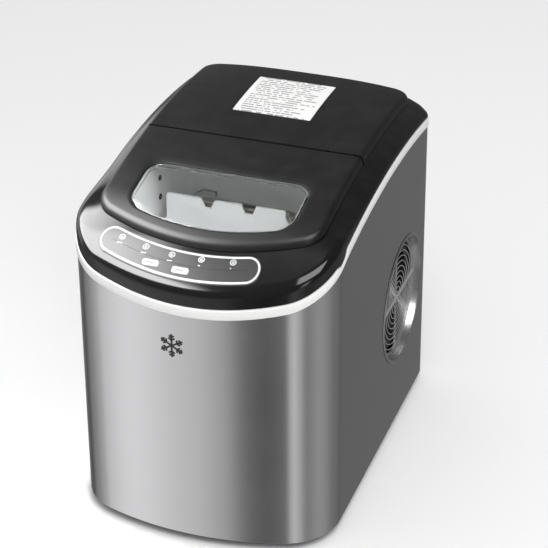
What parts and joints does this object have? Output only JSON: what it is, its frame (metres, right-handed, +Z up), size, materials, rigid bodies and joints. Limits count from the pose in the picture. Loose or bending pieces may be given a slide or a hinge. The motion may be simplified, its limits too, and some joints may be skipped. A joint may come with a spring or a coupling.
{
  "type": "countertop ice maker",
  "caption": "Countertop bullet-ice maker: steel-wrapped cabinet, glossy black crowned top with a hinged windowed lid, kidney control panel, round side vent and inner ice works.",
  "frame": {"origin": "on the surface that the feet stand on, below the middle of the machine's bounding box", "axes": "+Z up, -Y towards the front with the control panel, +X towards the side with the round vent"},
  "size_m": [0.2444, 0.3422, 0.3265],
  "materials": {
    "steel": "brushed",
    "black_gloss": "high gloss",
    "black_matt": "fine texture",
    "white_plastic": "satin",
    "clear_plastic": "clear",
    "silver_film": "semi-gloss printed film",
    "lamp": "diffusing",
    "paper": "coated paper",
    "rubber": "matt",
    "foam": "closed-cell foam",
    "circuit_board": "solder mask",
    "copper": "drawn copper",
    "aluminium": "mill",
    "painted_steel": "satin black paint"
  },
  "bodies": {
    "cabinet": {"housing_wrap": "steel", "vent_dish": "steel", "hinge_pin_left": "steel", "hinge_pin_right": "steel", "rear_screw_1": "steel", "rear_screw_2": "steel", "rear_screw_3": "steel", "rear_screw_4": "steel", "top_cover": "black_gloss", "rear_deck": "black_gloss", "base_pan": "black_matt", "rear_panel": "black_matt", "vent_grille": "black_matt", "front_mark": "black_matt", "ice_sensor_left": "black_matt", "ice_sensor_right": "black_matt", "water_pump": "black_matt", "compressor_relay": "black_matt", "trim_strip": "white_plastic", "inner_tank": "white_plastic", "drain_spout": "white_plastic", "water_hose": "clear_plastic", "control_film": "silver_film", "indicator_lamp_1": "lamp", "indicator_lamp_2": "lamp", "indicator_lamp_3": "lamp", "indicator_lamp_4": "lamp", "indicator_lamp_5": "lamp", "deck_label": "paper", "foot_front_left": "rubber", "foot_front_right": "rubber", "foot_rear_left": "rubber", "foot_rear_right": "rubber", "cord_gland": "rubber", "compressor_grommet_1": "rubber", "compressor_grommet_2": "rubber", "compressor_grommet_3": "rubber", "tank_foam": "foam", "control_board": "circuit_board", "power_board": "circuit_board", "evaporator": "copper", "suction_tube": "copper", "discharge_tube": "copper", "filter_drier": "copper", "tray_motor": "aluminium", "fan_shroud": "aluminium", "condenser": "aluminium", "compressor": "painted_steel", "fan_motor": "painted_steel"},
    "lid": {"lid_frame": "black_gloss", "lid_window": "clear_plastic"},
    "power_button": {"power_button": "white_plastic"},
    "select_button": {"select_button": "white_plastic"},
    "fan": {"vent_fan": "black_matt"},
    "tray": {"water_tray": "white_plastic"},
    "shovel": {"ice_shovel": "white_plastic"},
    "basket": {"ice_basket": "white_plastic"},
    "drain_cap": {"drain_cap": "rubber"}
  },
  "joints": [
    {"name": "lid_hinge", "type": "hinge", "parent": "cabinet", "child": "lid", "pos_m": [0, 0.005, 0.31998], "axis": [-1, 0, 0], "range_deg": [0, 92]},
    {"name": "power_button_press", "type": "slide", "parent": "cabinet", "child": "power_button", "axis": [0, 0.5506, -0.8348], "range_m": [0, 0.0008], "stiffness_N_per_m": 500},
    {"name": "select_button_press", "type": "slide", "parent": "cabinet", "child": "select_button", "axis": [0, 0.5598, -0.8286], "range_m": [0, 0.0008], "stiffness_N_per_m": 500},
    {"name": "fan_spin", "type": "hinge", "parent": "cabinet", "child": "fan", "pos_m": [0.1035, 0.084, 0.136], "axis": [1, 0, 0], "continuous": true},
    {"name": "tray_tilt", "type": "hinge", "parent": "cabinet", "child": "tray", "pos_m": [-0.013, 0.022, 0.205], "axis": [1, 0, 0], "range_deg": [0, 58]},
    {"name": "shovel_sweep", "type": "hinge", "parent": "cabinet", "child": "shovel", "pos_m": [-0.014, -0.028, 0.24], "axis": [1, 0, 0], "range_deg": [0, 50]},
    {"name": "basket_lift", "type": "slide", "parent": "cabinet", "child": "basket", "axis": [0, 0, 1], "range_m": [0, 0.06]},
    {"name": "drain_cap_pull", "type": "slide", "parent": "cabinet", "child": "drain_cap", "axis": [0, 1, 0], "range_m": [0, 0.02]}
  ],
  "couplings": [
    {"joint": "shovel_sweep", "follows": "tray_tilt", "ratio": 0.85}
  ]
}
